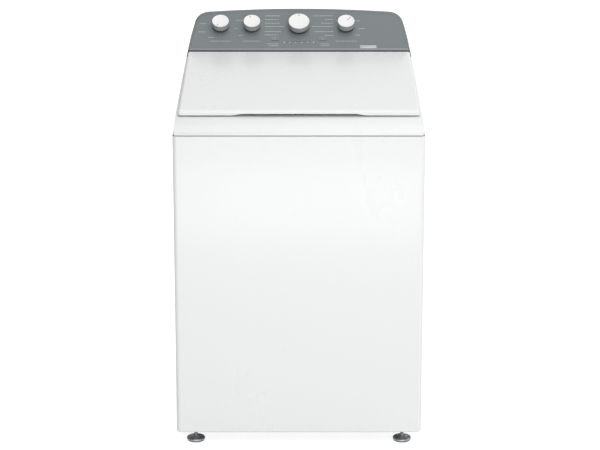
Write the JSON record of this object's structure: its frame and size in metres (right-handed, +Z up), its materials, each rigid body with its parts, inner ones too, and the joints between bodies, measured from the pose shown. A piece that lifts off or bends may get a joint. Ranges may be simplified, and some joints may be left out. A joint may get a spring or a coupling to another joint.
{
  "type": "top load washing machine",
  "caption": "Tall top-loading laundry washer with a sloped hinged lid, a slanted rear control panel with selector knobs, and an agitator in a spin basket.",
  "frame": {"origin": "on the floor, below the middle of the machine's bounding box", "axes": "+Z up, -Y is the front, +Y the back with the water ports, +X to the right as seen from the front"},
  "size_m": [0.69, 0.69, 1.1175],
  "materials": {
    "white_enamel": "glossy white baked enamel on steel",
    "galvanised_steel": "zinc-coated steel, dull",
    "basket_steel": "brushed stainless steel",
    "cast_aluminium": "sand-cast aluminium",
    "console_plastic": "satin grey moulded plastic",
    "knob_plastic": "satin white moulded plastic",
    "white_plastic": "white moulded plastic",
    "tub_plastic": "translucent off-white polypropylene",
    "agitator_plastic": "smooth pale moulded polypropylene",
    "dark_plastic": "black moulded plastic",
    "circuit_board": "green solder mask",
    "lens_plastic": "clear tinted lens",
    "black_rubber": "matt black rubber"
  },
  "bodies": {
    "cabinet": {"cabinet_wrap": "white_enamel", "rear_panel": "galvanised_steel", "base_frame": "galvanised_steel", "top_panel": "white_enamel", "bleach_dispenser": "white_plastic", "console_fascia": "console_plastic", "console_back_cover": "console_plastic", "inlet_valve": "white_plastic", "fill_spout": "dark_plastic", "drain_hose": "dark_plastic", "cord_gland": "dark_plastic", "lid_lock_housing": "dark_plastic", "left_hinge_bracket": "galvanised_steel", "right_hinge_bracket": "galvanised_steel", "control_board": "circuit_board", "indicator_lens": "lens_plastic", "load_size_switch": "dark_plastic", "temperature_switch": "dark_plastic", "cycle_switch": "dark_plastic", "rinse_switch": "dark_plastic", "front_left_suspension_rod": "galvanised_steel", "front_right_suspension_rod": "galvanised_steel", "rear_left_suspension_rod": "galvanised_steel", "rear_right_suspension_rod": "galvanised_steel", "front_left_suspension_spring": "galvanised_steel", "front_right_suspension_spring": "galvanised_steel", "rear_left_suspension_spring": "galvanised_steel", "rear_right_suspension_spring": "galvanised_steel"},
    "lid": {"lid": "white_enamel", "lid_strike": "dark_plastic", "left_lid_bumper": "black_rubber", "right_lid_bumper": "black_rubber", "left_hinge_pin": "galvanised_steel", "right_hinge_pin": "galvanised_steel"},
    "lock_bolt": {"lid_lock_bolt": "dark_plastic"},
    "tub": {"outer_tub": "tub_plastic", "tub_ring": "white_plastic", "bearing_housing": "cast_aluminium", "gearcase": "galvanised_steel", "motor_housing": "cast_aluminium", "drain_pump": "dark_plastic", "drive_belt": "black_rubber"},
    "basket": {"basket": "basket_steel", "balance_ring": "white_plastic", "spin_tube": "galvanised_steel"},
    "agitator": {"agitator": "agitator_plastic", "agitator_shaft": "galvanised_steel"},
    "agitator_cap": {"agitator_cap": "agitator_plastic"},
    "drive_pulley": {"drive_pulley": "cast_aluminium"},
    "motor_rotor": {"motor_rotor": "galvanised_steel"},
    "load_size_knob": {"load_size_knob": "knob_plastic"},
    "temperature_knob": {"temperature_knob": "knob_plastic"},
    "cycle_knob": {"cycle_knob": "knob_plastic"},
    "rinse_knob": {"rinse_knob": "knob_plastic"},
    "option_button": {"option_button": "console_plastic"},
    "start_button": {"start_button": "console_plastic"},
    "front_left_foot": {"front_left_foot": "galvanised_steel"},
    "front_right_foot": {"front_right_foot": "galvanised_steel"},
    "rear_left_foot": {"rear_left_foot": "galvanised_steel"},
    "rear_right_foot": {"rear_right_foot": "galvanised_steel"}
  },
  "joints": [
    {"name": "lid_hinge", "type": "hinge", "parent": "cabinet", "child": "lid", "pos_m": [0, 0.16, 1.01581], "axis": [-1, 0, 0], "range_deg": [0, 105]},
    {"name": "lock_bolt_slide", "type": "slide", "parent": "cabinet", "child": "lock_bolt", "axis": [0, -0.9919, -0.1273], "range_m": [0, 0.009], "stiffness_N_per_m": 60},
    {"name": "load_size_turn", "type": "hinge", "parent": "cabinet", "child": "load_size_knob", "pos_m": [-0.23, 0.25393, 1.07806], "axis": [0, 0.5592, -0.829], "range_deg": [0, 105]},
    {"name": "temperature_turn", "type": "hinge", "parent": "cabinet", "child": "temperature_knob", "pos_m": [-0.138, 0.25393, 1.07806], "axis": [0, -0.5592, 0.829], "range_deg": [0, 126]},
    {"name": "cycle_turn", "type": "hinge", "parent": "cabinet", "child": "cycle_knob", "pos_m": [0, 0.25393, 1.07806], "axis": [0, 0.5592, -0.829], "continuous": true},
    {"name": "rinse_turn", "type": "hinge", "parent": "cabinet", "child": "rinse_knob", "pos_m": [0.138, 0.25393, 1.07806], "axis": [0, 0.5592, -0.829], "range_deg": [0, 102]},
    {"name": "option_press", "type": "slide", "parent": "cabinet", "child": "option_button", "axis": [0, 0.5592, -0.829], "range_m": [0, 0.0015], "stiffness_N_per_m": 500},
    {"name": "start_press", "type": "slide", "parent": "cabinet", "child": "start_button", "axis": [0, 0.5592, -0.829], "range_m": [0, 0.0015], "stiffness_N_per_m": 500},
    {"name": "tub_bounce", "type": "slide", "parent": "cabinet", "child": "tub", "axis": [0, 0, 1], "range_m": [-0.04, 0.025], "stiffness_N_per_m": 10000, "springref_m": 0.0309, "deforming": ["front_left_suspension_spring", "front_right_suspension_spring", "rear_left_suspension_spring", "rear_right_suspension_spring", "drain_hose"]},
    {"name": "basket_spin", "type": "hinge", "parent": "tub", "child": "basket", "pos_m": [0, -0.005, 0.4], "axis": [0, 0, 1], "continuous": true},
    {"name": "agitator_spin", "type": "hinge", "parent": "tub", "child": "agitator", "pos_m": [0, -0.005, 0.45], "axis": [0, 0, 1], "continuous": true},
    {"name": "cap_lift", "type": "slide", "parent": "agitator", "child": "agitator_cap", "axis": [0, 0, 1], "range_m": [0, 0.06]},
    {"name": "drive_pulley_spin", "type": "hinge", "parent": "tub", "child": "drive_pulley", "pos_m": [0, -0.005, 0.216], "axis": [0, 0, 1], "continuous": true},
    {"name": "motor_spin", "type": "hinge", "parent": "tub", "child": "motor_rotor", "pos_m": [0, 0.163, 0.216], "axis": [0, 0, 1], "continuous": true},
    {"name": "front_left_foot_turn", "type": "hinge", "parent": "cabinet", "child": "front_left_foot", "pos_m": [-0.293, -0.298, 0], "axis": [0, 0, 1], "continuous": true},
    {"name": "front_right_foot_turn", "type": "hinge", "parent": "cabinet", "child": "front_right_foot", "pos_m": [0.293, -0.298, 0], "axis": [0, 0, 1], "continuous": true},
    {"name": "rear_left_foot_turn", "type": "hinge", "parent": "cabinet", "child": "rear_left_foot", "pos_m": [-0.293, 0.28, 0], "axis": [0, 0, 1], "continuous": true},
    {"name": "rear_right_foot_turn", "type": "hinge", "parent": "cabinet", "child": "rear_right_foot", "pos_m": [0.293, 0.28, 0], "axis": [0, 0, 1], "continuous": true}
  ],
  "couplings": [
    {"joint": "drive_pulley_spin", "follows": "agitator_spin", "ratio": 4},
    {"joint": "motor_spin", "follows": "agitator_spin", "ratio": 17.258}
  ]
}
